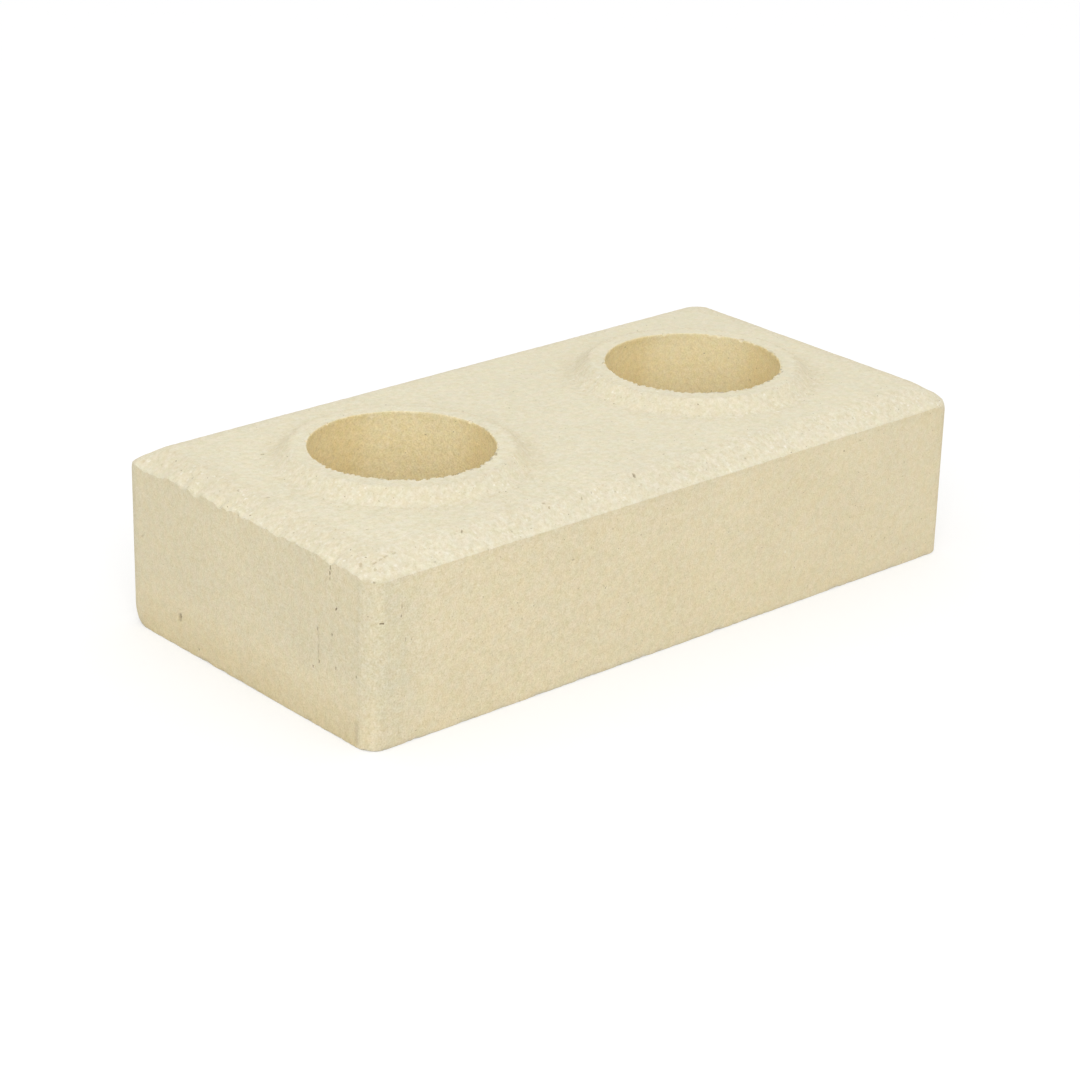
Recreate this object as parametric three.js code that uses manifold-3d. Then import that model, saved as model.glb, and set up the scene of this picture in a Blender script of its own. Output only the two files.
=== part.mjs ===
// Clay brick with two through bores, in millimetres, +Z up.
// The origin is the middle of the underside, and X runs along the brick.
//
// The walls stand straight up from the underside. Above them a shallow bevel leads in to the
// flat bed face. A raised ring stands round each bore on the bed face, and a socket round each
// bore in the underside takes the rings of the brick below. The brick is pressed and fired as
// one piece, so everything is joined to, or cut from, one solid.

import * as THREE from 'three';
import { mergeVertices } from 'three/addons/utils/BufferGeometryUtils.js';
import Module from 'manifold-3d';

const wasm = await Module();
wasm.setup();

// Driving dimensions: the block
const LENGTH = 230;
const WIDTH = LENGTH / 2; // two bricks side by side cover one laid across them
const BED_HEIGHT = 55;
const CORNER_RADIUS = 5.5; // the upright corners, in plan

// Driving dimensions: the bevel round the bed face
const SIDE_WALL_HEIGHT = 50;
const SIDE_BEVEL_RUN = 7.7; // inwards from the long sides
const END_WALL_HEIGHT = 51.1; // the ends stand a little taller than the sides
const END_BEVEL_RUN = 6.8;
const BED_CREASE_RADIUS = 8; // softens the crease between bevel and bed face

// Driving dimensions: the bores
const BORE_RADIUS = 27.5;
const JOINT = 2; // gap between bricks laid end to end
const BORE_PITCH = (LENGTH + JOINT) / 2; // keeps the bores in line in a half-brick bond

// Driving dimensions: the raised rings
const RING_RISE = 4.3; // above the bed face
const RING_LAND_RADIUS = 32.7; // where the flat land meets the flank
const RING_FOOT_RADIUS = 37.3; // where the flank meets the bed face
const RING_SHOULDER_RADIUS = 1.6; // rounds the land over into the flank
const RING_FOOT_FILLET = 4.5; // hollow curve from the flank out on to the bed face
const RING_HEIGHT = BED_HEIGHT + RING_RISE;

// Driving dimensions: the sockets underneath
const SOCKET_CLEARANCE = 2; // all round a ring, to allow for the spread of fired sizes
const SOCKET_SPARE_DEPTH = 1.2; // keeps the ring off the socket's ceiling
const SOCKET_DEPTH = RING_RISE + SOCKET_SPARE_DEPTH;
const SOCKET_CEILING_RADIUS = RING_LAND_RADIUS + SOCKET_CLEARANCE;
const SOCKET_MOUTH_RADIUS = RING_FOOT_RADIUS + SOCKET_CLEARANCE;

// Fineness of the curves
const TURN_SEGMENTS = 72; // round a bore, ring or socket
const CORNER_SEGMENTS = 6; // round an upright corner
const CREASE_SEGMENTS = 4; // across a small rounding in a section
const OVERLAP = 2; // how far a cutter or a joined solid runs past the face it works on

/**
 * Adds to a section the arc that rounds its corner between two straight runs.
 *
 * @param {THREE.Vector2[]} section points of the section so far
 * @param {THREE.Vector2} before point that the section comes from
 * @param {THREE.Vector2} corner where the two straight runs would meet
 * @param {THREE.Vector2} after point that the section goes on to
 * @param {number} radius radius of the rounding
 */
function roundCorner(section, before, corner, after, radius) {
  const inward = before.clone().sub(corner).normalize();
  const outward = after.clone().sub(corner).normalize();
  const halfAngle = Math.acos(inward.dot(outward)) / 2;
  const reach = radius / Math.tan(halfAngle);
  const toCentre = inward.clone().add(outward).normalize();
  const centre = corner.clone().addScaledVector(toCentre, radius / Math.sin(halfAngle));
  const first = corner.clone().addScaledVector(inward, reach).sub(centre).angle();
  const last = corner.clone().addScaledVector(outward, reach).sub(centre).angle();
  let sweep = last - first;
  if (sweep > Math.PI) {
    sweep -= 2 * Math.PI;
  }
  if (sweep < -Math.PI) {
    sweep += 2 * Math.PI;
  }
  for (let step = 0; step <= CREASE_SEGMENTS; step += 1) {
    const angle = first + (sweep * step) / CREASE_SEGMENTS;
    section.push(new THREE.Vector2(
      centre.x + radius * Math.cos(angle),
      centre.y + radius * Math.sin(angle),
    ));
  }
}

/**
 * Section of one edge of the brick, from the underside to the bed face.
 *
 * @param {number} wallHeight height of the wall under the bevel
 * @param {number} bevelRun how far the bevel leads in from the wall
 * @returns {THREE.Vector2[]} (inset, height) points
 */
function edgeSection(wallHeight, bevelRun) {
  const wallTop = new THREE.Vector2(0, wallHeight);
  const crease = new THREE.Vector2(bevelRun, BED_HEIGHT);
  const bed = new THREE.Vector2(WIDTH / 2, BED_HEIGHT);
  const section = [new THREE.Vector2(0, 0), wallTop];
  roundCorner(section, wallTop, crease, bed, BED_CREASE_RADIUS);
  return section;
}

/** Directions out of the brick's upright corners in plan, quadrant by quadrant. */
function cornerDirections() {
  const directions = [];
  for (let quadrant = 0; quadrant < 4; quadrant += 1) {
    for (let step = 0; step <= CORNER_SEGMENTS; step += 1) {
      const angle = ((quadrant + step / CORNER_SEGMENTS) * Math.PI) / 2;
      const xSide = quadrant === 0 || quadrant === 3 ? 1 : -1;
      const ySide = quadrant < 2 ? 1 : -1;
      directions.push({ angle, xSide, ySide });
    }
  }
  return directions;
}

/**
 * One level of the block: a rounded rectangle that follows the side's section along the sides
 * and the end's section along the ends, and turns smoothly from one to the other at a corner.
 *
 * @param {THREE.Vector2} side point of the side's section
 * @param {THREE.Vector2} end point of the end's section
 * @returns {THREE.Vector3[]} the level's points, counter-clockwise from above
 */
function blockLevel(side, end) {
  const x = LENGTH / 2 - end.x - CORNER_RADIUS;
  const y = WIDTH / 2 - side.x - CORNER_RADIUS;
  return cornerDirections().map(({ angle, xSide, ySide }) => new THREE.Vector3(
    xSide * x + CORNER_RADIUS * Math.cos(angle),
    ySide * y + CORNER_RADIUS * Math.sin(angle),
    THREE.MathUtils.lerp(side.y, end.y, Math.cos(angle) ** 2),
  ));
}

/** Skins the block's levels, from the underside to the bed face, and closes both ends. */
function loftBlock() {
  const sides = edgeSection(SIDE_WALL_HEIGHT, SIDE_BEVEL_RUN);
  const ends = edgeSection(END_WALL_HEIGHT, END_BEVEL_RUN);
  const levels = sides.map((side, n) => blockLevel(side, ends[n]));
  const count = levels[0].length;
  const positions = levels.flat().flatMap((point) => point.toArray());
  const faces = [];
  for (let level = 0; level + 1 < levels.length; level += 1) {
    for (let n = 0; n < count; n += 1) {
      const low = level * count;
      const next = (n + 1) % count;
      faces.push(low + n, low + next, low + count + next);
      faces.push(low + n, low + count + next, low + count + n);
    }
  }
  const top = (levels.length - 1) * count;
  THREE.ShapeUtils.triangulateShape(levels[0], []).forEach(([a, b, c]) => {
    faces.push(c, b, a);
    faces.push(top + a, top + b, top + c);
  });
  const geometry = new THREE.BufferGeometry();
  geometry.setAttribute('position', new THREE.Float32BufferAttribute(positions, 3));
  geometry.setIndex(faces);
  return geometry;
}

/** Turns a section of (radius, height) points round an upright axis, at `x` along the brick. */
function turn(section, x) {
  const geometry = new THREE.LatheGeometry(section, TURN_SEGMENTS);
  geometry.rotateX(Math.PI / 2);
  geometry.translate(x, 0, 0);
  return geometry;
}

/** Section of a raised ring, rooted in the block below the bed face. */
function ringSection() {
  const bed = new THREE.Vector2(WIDTH / 2, BED_HEIGHT);
  const foot = new THREE.Vector2(RING_FOOT_RADIUS, BED_HEIGHT);
  const shoulder = new THREE.Vector2(RING_LAND_RADIUS, RING_HEIGHT);
  const axis = new THREE.Vector2(0, RING_HEIGHT);
  const curves = [];
  roundCorner(curves, bed, foot, shoulder, RING_FOOT_FILLET);
  roundCorner(curves, foot, shoulder, axis, RING_SHOULDER_RADIUS);
  return [
    new THREE.Vector2(0, BED_HEIGHT - OVERLAP),
    new THREE.Vector2(curves[0].x, BED_HEIGHT - OVERLAP),
    ...curves,
    axis,
  ];
}

/** Section of the cutter for a socket in the underside. */
function socketSection() {
  const mouth = new THREE.Vector2(SOCKET_MOUTH_RADIUS, 0);
  const ceiling = new THREE.Vector2(SOCKET_CEILING_RADIUS, SOCKET_DEPTH);
  const axis = new THREE.Vector2(0, SOCKET_DEPTH);
  const curve = [];
  roundCorner(curve, mouth, ceiling, axis, RING_SHOULDER_RADIUS);
  return [
    new THREE.Vector2(0, -OVERLAP),
    new THREE.Vector2(SOCKET_MOUTH_RADIUS, -OVERLAP),
    mouth,
    ...curve,
    axis,
  ];
}

/** Section of the cutter for a bore, from below the underside to above the rings. */
function boreSection() {
  return [
    new THREE.Vector2(0, -OVERLAP),
    new THREE.Vector2(BORE_RADIUS, -OVERLAP),
    new THREE.Vector2(BORE_RADIUS, RING_HEIGHT + OVERLAP),
    new THREE.Vector2(0, RING_HEIGHT + OVERLAP),
  ];
}

/** Makes a solid of a closed geometry. */
function toSolid(geometry) {
  geometry.deleteAttribute('normal');
  geometry.deleteAttribute('uv');
  const merged = mergeVertices(geometry);
  return new wasm.Manifold(new wasm.Mesh({
    numProp: 3,
    vertProperties: new Float32Array(merged.attributes.position.array),
    triVerts: new Uint32Array(merged.index.array),
  }));
}

/** Makes a geometry of a solid. */
function toGeometry(solid) {
  const mesh = solid.getMesh();
  const geometry = new THREE.BufferGeometry();
  geometry.setAttribute('position', new THREE.BufferAttribute(mesh.vertProperties, 3));
  geometry.setIndex(new THREE.BufferAttribute(mesh.triVerts, 1));
  return geometry;
}

/** The whole brick: the block with its rings joined on and its sockets and bores cut out. */
function brickGeometry() {
  let solid = toSolid(loftBlock());
  for (const x of [-BORE_PITCH / 2, BORE_PITCH / 2]) {
    solid = solid.add(toSolid(turn(ringSection(), x)));
    solid = solid.subtract(toSolid(turn(socketSection(), x)));
    solid = solid.subtract(toSolid(turn(boreSection(), x)));
  }
  return toGeometry(solid);
}

const clay = new THREE.MeshStandardMaterial({ color: 0xded2b0, roughness: 0.95, metalness: 0 });

const brick = new THREE.Mesh(brickGeometry(), clay);
brick.name = 'brick';

const part = new THREE.Group();
part.add(brick);

export default part;
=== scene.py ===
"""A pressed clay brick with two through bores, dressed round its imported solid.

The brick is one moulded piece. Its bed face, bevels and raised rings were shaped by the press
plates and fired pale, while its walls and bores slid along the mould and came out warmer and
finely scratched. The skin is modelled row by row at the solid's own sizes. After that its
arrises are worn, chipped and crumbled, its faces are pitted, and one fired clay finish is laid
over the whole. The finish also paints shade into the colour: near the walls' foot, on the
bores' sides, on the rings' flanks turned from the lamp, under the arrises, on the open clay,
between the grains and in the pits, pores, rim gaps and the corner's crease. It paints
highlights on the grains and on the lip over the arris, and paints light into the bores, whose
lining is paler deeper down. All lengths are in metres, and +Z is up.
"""

import logging
import math
from dataclasses import dataclass, replace
from enum import Enum

import bmesh
import bpy
import numpy as np
from mathutils import Matrix, Vector, noise


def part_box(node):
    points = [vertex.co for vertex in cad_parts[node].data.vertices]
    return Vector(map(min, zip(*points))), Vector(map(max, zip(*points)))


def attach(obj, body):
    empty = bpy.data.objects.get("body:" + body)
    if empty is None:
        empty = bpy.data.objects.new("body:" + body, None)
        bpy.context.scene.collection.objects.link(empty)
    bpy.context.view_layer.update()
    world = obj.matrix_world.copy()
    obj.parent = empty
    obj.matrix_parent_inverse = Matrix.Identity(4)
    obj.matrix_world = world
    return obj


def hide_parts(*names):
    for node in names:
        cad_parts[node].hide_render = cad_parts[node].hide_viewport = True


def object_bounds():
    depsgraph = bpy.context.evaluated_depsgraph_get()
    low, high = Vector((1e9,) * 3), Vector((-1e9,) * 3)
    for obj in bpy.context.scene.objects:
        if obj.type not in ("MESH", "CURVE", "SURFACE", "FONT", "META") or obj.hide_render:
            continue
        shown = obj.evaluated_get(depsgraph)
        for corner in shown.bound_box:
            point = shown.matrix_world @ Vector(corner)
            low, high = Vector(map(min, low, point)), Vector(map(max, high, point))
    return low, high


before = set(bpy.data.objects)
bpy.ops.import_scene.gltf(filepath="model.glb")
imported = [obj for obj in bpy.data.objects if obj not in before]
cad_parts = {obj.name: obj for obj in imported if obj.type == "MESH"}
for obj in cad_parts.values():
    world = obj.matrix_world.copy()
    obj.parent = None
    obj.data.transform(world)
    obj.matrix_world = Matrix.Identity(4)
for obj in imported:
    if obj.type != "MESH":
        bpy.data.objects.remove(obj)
cad_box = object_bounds()

LOG = logging.getLogger("clay_brick")
MM = 0.001
CAD_NODE = "brick"
CAD_BODY = "root"
UP = np.array((0.0, 0.0, 1.0))
HALF_TURN = (-1.0, -1.0, 1.0)
WHITE = (1.0, 1.0, 1.0)
TINY = 1e-9

Point2 = tuple[float, float]
Point3 = tuple[float, float, float]
Colour = tuple[float, float, float]
Inputs = dict[str | int, object]


def smoothstep(low: float, high: float, value: np.ndarray) -> np.ndarray:
    """Eases from 0 below `low` to 1 above `high`.

    Args:
        low: Where the ease starts.
        high: Where the ease ends; it may be less than `low`, which turns the ease round.
        value: The values to ease.

    Returns:
        The eased values, from 0 to 1.
    """
    share = np.clip((value - low) / (high - low), 0.0, 1.0)
    return share * share * (3.0 - 2.0 * share)


def fillet(before: Point2, corner: Point2, after: Point2, radius: float, steps: int) -> list[Point2]:
    """Rounds the corner between two straight runs of a section.

    Args:
        before: A point on the run that comes in.
        corner: Where the two runs would meet.
        after: A point on the run that goes out.
        radius: Radius of the rounding.
        steps: Number of chords along the arc.

    Returns:
        The points of the arc, both ends included.
    """
    tip = Vector(corner)
    inward = (Vector(before) - tip).normalized()
    outward = (Vector(after) - tip).normalized()
    half_angle = math.acos(inward.dot(outward)) / 2.0
    centre = tip + (inward + outward).normalized() * (radius / math.sin(half_angle))
    reach = radius / math.tan(half_angle)
    first = tip + inward * reach - centre
    last = tip + outward * reach - centre
    turn = math.atan2(first.x * last.y - first.y * last.x, first.dot(last))
    points = []
    for step in range(steps + 1):
        spoke = first.copy()
        spoke.rotate(Matrix.Rotation(turn * step / steps, 2))
        points.append((centre.x + spoke.x, centre.y + spoke.y))
    return points


def between(first: Point2, last: Point2, steps: int, growth: float = 1.0) -> list[Point2]:
    """Divides a straight run of a section, leaving out both of its ends.

    Args:
        first: Start of the run.
        last: End of the run.
        steps: Number of pieces.
        growth: Length of each piece over the one before it.

    Returns:
        The points inside the run.
    """
    lengths = np.cumsum(growth ** np.arange(steps))
    shares = lengths[:-1] / lengths[-1]
    return [(first[0] + (last[0] - first[0]) * s, first[1] + (last[1] - first[1]) * s) for s in shares]


def web(first: np.ndarray, last: np.ndarray, steps: int) -> list[np.ndarray]:
    """Fills the space from one row of points to another with rows, leaving out the last one."""
    return [first + (last - first) * share for share in np.linspace(0.0, 1.0, steps, endpoint=False)]


@dataclass(frozen=True)
class BrickSizes:
    """Real sizes of the brick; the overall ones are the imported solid's."""

    length: float
    width: float
    height: float
    corner_radius: float = 5.5 * MM
    side_wall: float = 50.0 * MM
    side_bevel_run: float = 7.7 * MM
    end_wall: float = 51.1 * MM
    end_bevel_run: float = 6.8 * MM
    bed_crease_radius: float = 8.0 * MM
    bore_radius: float = 27.5 * MM
    joint: float = 2.0 * MM
    ring_rise: float = 4.3 * MM
    ring_land_radius: float = 32.7 * MM
    ring_foot_radius: float = 37.3 * MM
    ring_shoulder_radius: float = 1.2 * MM
    ring_foot_fillet: float = 3.2 * MM
    socket_clearance: float = 2.0 * MM
    socket_spare_depth: float = 1.2 * MM
    arris_radius: float = 0.22 * MM
    foot_arris_radius: float = 0.3 * MM
    rim_radius: float = 0.30 * MM

    @classmethod
    def of_box(cls, low: Vector, high: Vector) -> "BrickSizes":
        """Takes the overall sizes from the solid's box.

        Args:
            low: Lowest corner of the box.
            high: Highest corner of the box.

        Returns:
            The sizes of the brick.
        """
        return cls(length=high.x - low.x, width=high.y - low.y, height=high.z)

    @property
    def bed(self) -> float:
        """Height of the flat bed face."""
        return self.height - self.ring_rise

    @property
    def bore_x(self) -> float:
        """Distance of each bore's axis from the middle of the brick."""
        return (self.length + self.joint) / 4.0

    @property
    def socket_depth(self) -> float:
        """Depth of the sockets in the underside."""
        return self.ring_rise + self.socket_spare_depth

    @property
    def socket_ceiling_radius(self) -> float:
        """Radius of a socket's ceiling."""
        return self.ring_land_radius + self.socket_clearance

    @property
    def socket_mouth_radius(self) -> float:
        """Radius of a socket's mouth."""
        return self.ring_foot_radius + self.socket_clearance


@dataclass(frozen=True)
class Row:
    """One row of the outer skin: a point of the sides' section and one of the ends' section."""

    side: Point2
    end: Point2
    fineness: int


@dataclass(frozen=True)
class Hoop:
    """One row of a bore's sleeve: a circle, and how finely it is divided."""

    radius: float
    height: float
    fineness: int


@dataclass(frozen=True)
class Plan:
    """Outline of the brick in plan, divided into stations that every row shares.

    The left half is laid out from the middle of the +Y side, round the left end, to the middle
    of the -Y side. The right half is the same turned through half a turn.
    """

    sizes: BrickSizes
    side_steps: int = 50
    corner_steps: int = 8
    end_steps: int = 42
    middle_steps: int = 48

    def stations(self, fineness: int) -> np.ndarray:
        """Lays out the left half's stations.

        Args:
            fineness: How many times as many stations as the coarsest rows have.

        Returns:
            One (share along X, share along Y, angle) for each station.
        """
        back, left, front = (quarters * math.pi / 2.0 for quarters in (1.0, 2.0, 3.0))
        runs = (
            ((0.0, 1.0, back), (-1.0, 1.0, back), self.side_steps),
            ((-1.0, 1.0, back), (-1.0, 1.0, left), self.corner_steps),
            ((-1.0, 1.0, left), (-1.0, -1.0, left), self.end_steps),
            ((-1.0, -1.0, left), (-1.0, -1.0, front), self.corner_steps),
            ((-1.0, -1.0, front), (0.0, -1.0, front), self.side_steps),
        )
        return np.vstack([np.linspace(a, b, n * fineness, endpoint=False) for a, b, n in runs])

    def half(self, side: Point2, end: Point2, fineness: int) -> np.ndarray:
        """Places the left half of a row.

        Args:
            side: (inset, height) of the row along the sides.
            end: (inset, height) of the row along the ends.
            fineness: Fineness of the row.

        Returns:
            The points of the half row.
        """
        radius = self.sizes.corner_radius
        reach_x = self.sizes.length / 2.0 - end[0] - radius
        reach_y = self.sizes.width / 2.0 - side[0] - radius
        along_x, along_y, angle = self.stations(fineness).T
        across = np.cos(angle)
        return np.column_stack((
            along_x * reach_x + radius * across,
            along_y * reach_y + radius * np.sin(angle),
            side[1] + (end[1] - side[1]) * across * across,
        ))

    def whole(self, row: Row) -> np.ndarray:
        """Places a row right round the brick."""
        left = self.half(row.side, row.end, row.fineness)
        return np.vstack((left, left * HALF_TURN))

    def border(self, row: Row) -> np.ndarray:
        """Closes the left half of a flat row along the middle of the brick.

        Args:
            row: The row, which lies at one height.

        Returns:
            The points round the left half of the face that the row encloses.
        """
        left = self.half(row.side, row.end, row.fineness)
        reach = self.sizes.width / 2.0 - row.side[0]
        across = np.linspace(-reach, reach, self.middle_steps * row.fineness, endpoint=False)
        middle = np.column_stack((np.zeros_like(across), across, np.full_like(across, row.side[1])))
        return np.vstack((left, middle))

    def circle(self, hoop: Hoop) -> np.ndarray:
        """Places a circle round the left bore, with a station for each one of a border.

        Args:
            hoop: The circle.

        Returns:
            The points of the circle.
        """
        half_side = self.sizes.width / 2.0
        mid_angle = math.atan2(half_side, self.sizes.bore_x)
        corner_angle = math.atan2(half_side, self.sizes.bore_x - self.sizes.length / 2.0)
        mid_corner = self.corner_steps / 2.0
        marks = np.cumsum((
            0.0,
            self.side_steps + mid_corner,
            2.0 * mid_corner + self.end_steps,
            mid_corner + self.side_steps,
            self.middle_steps,
        ))
        angles = (
            mid_angle, corner_angle, 2.0 * math.pi - corner_angle,
            2.0 * math.pi - mid_angle, 2.0 * math.pi + mid_angle,
        )
        station = np.arange(round(marks[-1]) * hoop.fineness) / hoop.fineness
        angle = np.interp(station, marks, angles)
        return np.column_stack((
            hoop.radius * np.cos(angle) - self.sizes.bore_x,
            hoop.radius * np.sin(angle),
            np.full_like(angle, hoop.height),
        ))


class SkinNet:
    """Gathers rows of points into one mesh, row to row."""

    def __init__(self) -> None:
        """Starts an empty net."""
        self.points: list[np.ndarray] = []
        self.faces: list[tuple[int, ...]] = []
        self.count = 0

    def lay(self, rows: list[np.ndarray]) -> None:
        """Adds a band of closed rows, each joined to the next.

        Args:
            rows: Rows of points. Two neighbours have equal counts, or one has twice the other's.
        """
        starts = []
        for row in rows:
            starts.append(self.count)
            self.points.append(row)
            self.count += len(row)
        for n in range(len(rows) - 1):
            self._join(starts[n], len(rows[n]), starts[n + 1], len(rows[n + 1]))

    def _join(self, first: int, first_count: int, second: int, second_count: int) -> None:
        """Makes the faces between two rows.

        Args:
            first: Number of the first row's first point.
            first_count: Points in the first row.
            second: Number of the second row's first point.
            second_count: Points in the second row.
        """
        cells = min(first_count, second_count)
        for cell in range(cells):
            near = self._edge(first, first_count, cell, first_count // cells)
            far = self._edge(second, second_count, cell, second_count // cells)
            self.faces.append((*near, *reversed(far)))

    @staticmethod
    def _edge(start: int, count: int, cell: int, pieces: int) -> list[int]:
        """Lists the points of a row along one cell.

        Args:
            start: Number of the row's first point.
            count: Points in the row.
            cell: Which cell.
            pieces: Edges of the row along the cell.

        Returns:
            The numbers of the points, both ends included.
        """
        return [start + (cell * pieces + n) % count for n in range(pieces + 1)]

    def mesh(self, weld: float = 0.001 * MM) -> bmesh.types.BMesh:
        """Makes the net into one closed mesh.

        Args:
            weld: Points nearer than this are one point.

        Returns:
            The mesh.
        """
        mesh = bmesh.new()
        verts = [mesh.verts.new(point) for point in np.vstack(self.points).tolist()]
        for face in self.faces:
            mesh.faces.new([verts[n] for n in face])
        bmesh.ops.remove_doubles(mesh, verts=mesh.verts, dist=weld)
        return mesh


@dataclass(frozen=True)
class BrickSkin:
    """Rows of the brick's skin, from the underside up the walls and down through the bores.

    The wall over the `worn_strip`, the share `worn_bevel` of the bevel and the `throat` of each
    bore are finely divided, because they wear.
    """

    sizes: BrickSizes
    plan: Plan
    worn_strip: float = 3.2 * MM
    worn_bevel: float = 0.4
    throat: float = 4.5 * MM
    bed_rows: int = 7
    under_rows: int = 6

    def edge_section(self, wall: float, bevel_run: float) -> list[tuple[float, float, int]]:
        """Works out the section of one edge, from the underside to the bed face.

        The rows crowd together at the arris, over the strip of wall and the share of the bevel
        that wear.

        Args:
            wall: Height of the wall under the bevel.
            bevel_run: How far the bevel leads in from the wall.

        Returns:
            (inset, height, fineness) for each row.
        """
        sizes = self.sizes
        inner = (sizes.width / 2.0, 0.0)
        arris = (0.0, wall)
        crease = (bevel_run, sizes.bed)
        centre = (sizes.width / 2.0, sizes.bed)
        foot = fillet(inner, (0.0, 0.0), arris, sizes.foot_arris_radius, steps=3)
        top = fillet((0.0, 0.0), arris, crease, sizes.arris_radius, steps=2)
        soft = fillet(arris, crease, centre, sizes.bed_crease_radius, steps=4)
        worn = (0.0, wall - self.worn_strip)
        slope = (self.worn_bevel * bevel_run, wall + self.worn_bevel * (sizes.bed - wall))
        parts = (
            (foot, 2),
            (between(foot[-1], worn, steps=18, growth=1.08), 1),
            ([worn], 2),
            (between(worn, top[0], steps=7, growth=0.8), 4),
            (top, 4),
            (between(top[-1], slope, steps=6, growth=1.25), 4),
            ([slope], 4),
            (between(slope, soft[0], steps=5), 2),
            (soft, 2),
        )
        return [(*point, fineness) for points, fineness in parts for point in points]

    def outer_rows(self) -> list[Row]:
        """Lists the rows of the walls, bevels and creases.

        Returns:
            The rows, from the underside up.
        """
        sizes = self.sizes
        sides = self.edge_section(sizes.side_wall, sizes.side_bevel_run)
        ends = self.edge_section(sizes.end_wall, sizes.end_bevel_run)
        return [Row(side[:2], end[:2], side[2]) for side, end in zip(sides, ends)]

    def ring_hoops(self) -> list[Hoop]:
        """Lists the circles over a ring.

        Returns:
            The circles, from the ring's foot on the bed face to the bore's rim.
        """
        sizes = self.sizes
        outside = (sizes.width, sizes.bed)
        foot = (sizes.ring_foot_radius, sizes.bed)
        shoulder = (sizes.ring_land_radius, sizes.height)
        rim = (sizes.bore_radius, sizes.height)
        below = (sizes.bore_radius, 0.0)
        hollow = fillet(outside, foot, shoulder, sizes.ring_foot_fillet, steps=6)
        brow = fillet(foot, shoulder, rim, sizes.ring_shoulder_radius, steps=4)
        lip = fillet(shoulder, rim, below, sizes.rim_radius, steps=3)
        land = between(brow[-1], lip[0], steps=9, growth=0.86)
        broad = [*hollow, *between(hollow[-1], brow[0], steps=7), *brow, *land[:5]]
        return [Hoop(*point, 2) for point in broad] + [Hoop(*point, 4) for point in (*land[5:], *lip)]

    def bore_hoops(self) -> list[Hoop]:
        """Lists the circles down a bore and out through its socket.

        Returns:
            The circles, from under the bore's rim to the underside.
        """
        sizes = self.sizes
        radius = sizes.bore_radius
        top = (radius, sizes.height - sizes.rim_radius)
        throat = (radius, sizes.height - self.throat)
        sill = (radius, sizes.socket_depth)
        shoulder = (sizes.socket_ceiling_radius, sizes.socket_depth)
        mouth = (sizes.socket_mouth_radius, 0.0)
        outside = (sizes.width, 0.0)
        lip = fillet(throat, sill, shoulder, sizes.rim_radius, steps=2)
        hollow = fillet(sill, shoulder, mouth, sizes.ring_shoulder_radius, steps=3)
        brow = fillet(shoulder, mouth, outside, sizes.foot_arris_radius, steps=2)
        upper = between(top, throat, steps=6, growth=1.45)
        coarse = [
            throat, *between(throat, lip[0], steps=14),
            *lip, *between(lip[-1], hollow[0], steps=4),
            *hollow, *between(hollow[-1], brow[0], steps=4), *brow,
        ]
        parts = ((upper[:3], 4), (upper[3:], 2), (coarse, 1))
        return [Hoop(*point, fineness) for points, fineness in parts for point in points]

    def sleeve(self, bed_row: Row, under_row: Row) -> list[np.ndarray]:
        """Places the rows over the left half: in to its ring, down its bore and out underneath.

        Args:
            bed_row: The row where the crease meets the bed face.
            under_row: The row where the walls' rounding meets the underside.

        Returns:
            The rows, each a closed one.
        """
        ring = [self.plan.circle(hoop) for hoop in self.ring_hoops()]
        bore = [self.plan.circle(hoop) for hoop in self.bore_hoops()]
        outline = self.plan.border(bed_row)
        base = self.plan.border(under_row)
        round_mouth = self.sizes.socket_mouth_radius + self.sizes.foot_arris_radius * 2.0
        mouth = self.plan.circle(Hoop(round_mouth, 0.0, 1))
        bed_rows = web(outline, ring[0], self.bed_rows)
        under_rows = web(mouth, base[::2], self.under_rows)
        return [*bed_rows, *ring, *bore, *under_rows, base]

    def build(self) -> bmesh.types.BMesh:
        """Builds the skin.

        Returns:
            One closed mesh of the whole brick, with its arrises still whole.
        """
        rows = self.outer_rows()
        net = SkinNet()
        net.lay([self.plan.whole(row) for row in rows])
        sleeve = self.sleeve(rows[-1], rows[0])
        net.lay(sleeve)
        net.lay([row * HALF_TURN for row in sleeve])
        return net.mesh()


class Face(Enum):
    """The faces of the brick that carry marks of their own, with their outward directions."""

    BED = (0.0, 0.0, 1.0)
    FRONT = (0.0, -1.0, 0.0)
    BACK = (0.0, 1.0, 0.0)
    LEFT = (-1.0, 0.0, 0.0)
    RIGHT = (1.0, 0.0, 0.0)


@dataclass(frozen=True)
class Pit:
    """A pinhole or a small burst in a face, or a slit or a scratch where it has a run."""

    face: Face
    place: Point3
    radius: float
    depth: float
    stain_and_shade: float = 0.6
    run: Point3 = (0.0, 0.0, 0.0)
    reach: float = 4.0 * MM

    def distance(self, points: np.ndarray) -> np.ndarray:
        """Measures points from the middle line of the pit's run, as its face shows them.

        A bevel or a rounded corner falls away from its face, and the pit follows it down, as far
        as `reach`.

        Args:
            points: The points.

        Returns:
            The distance of each one.
        """
        facing = np.array(self.face.value)
        away = points - np.array(self.place)
        under = np.abs(away @ facing)
        away -= (away @ facing)[:, None] * facing
        run = np.array(self.run)
        share = np.clip(away @ run / max(run @ run, TINY), 0.0, 1.0)
        flat = np.linalg.norm(away - share[:, None] * run, axis=1)
        return flat + np.maximum(under - self.reach, 0.0)


@dataclass(frozen=True)
class Chip:
    """A scoop broken out of an arris."""

    place: Point3
    outward: Point3
    width: float
    depth: float


@dataclass(frozen=True)
class Tongue:
    """A tongue of pale clay that hangs from the bevel over an end wall."""

    place: float
    reach: float
    drop: float


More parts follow.
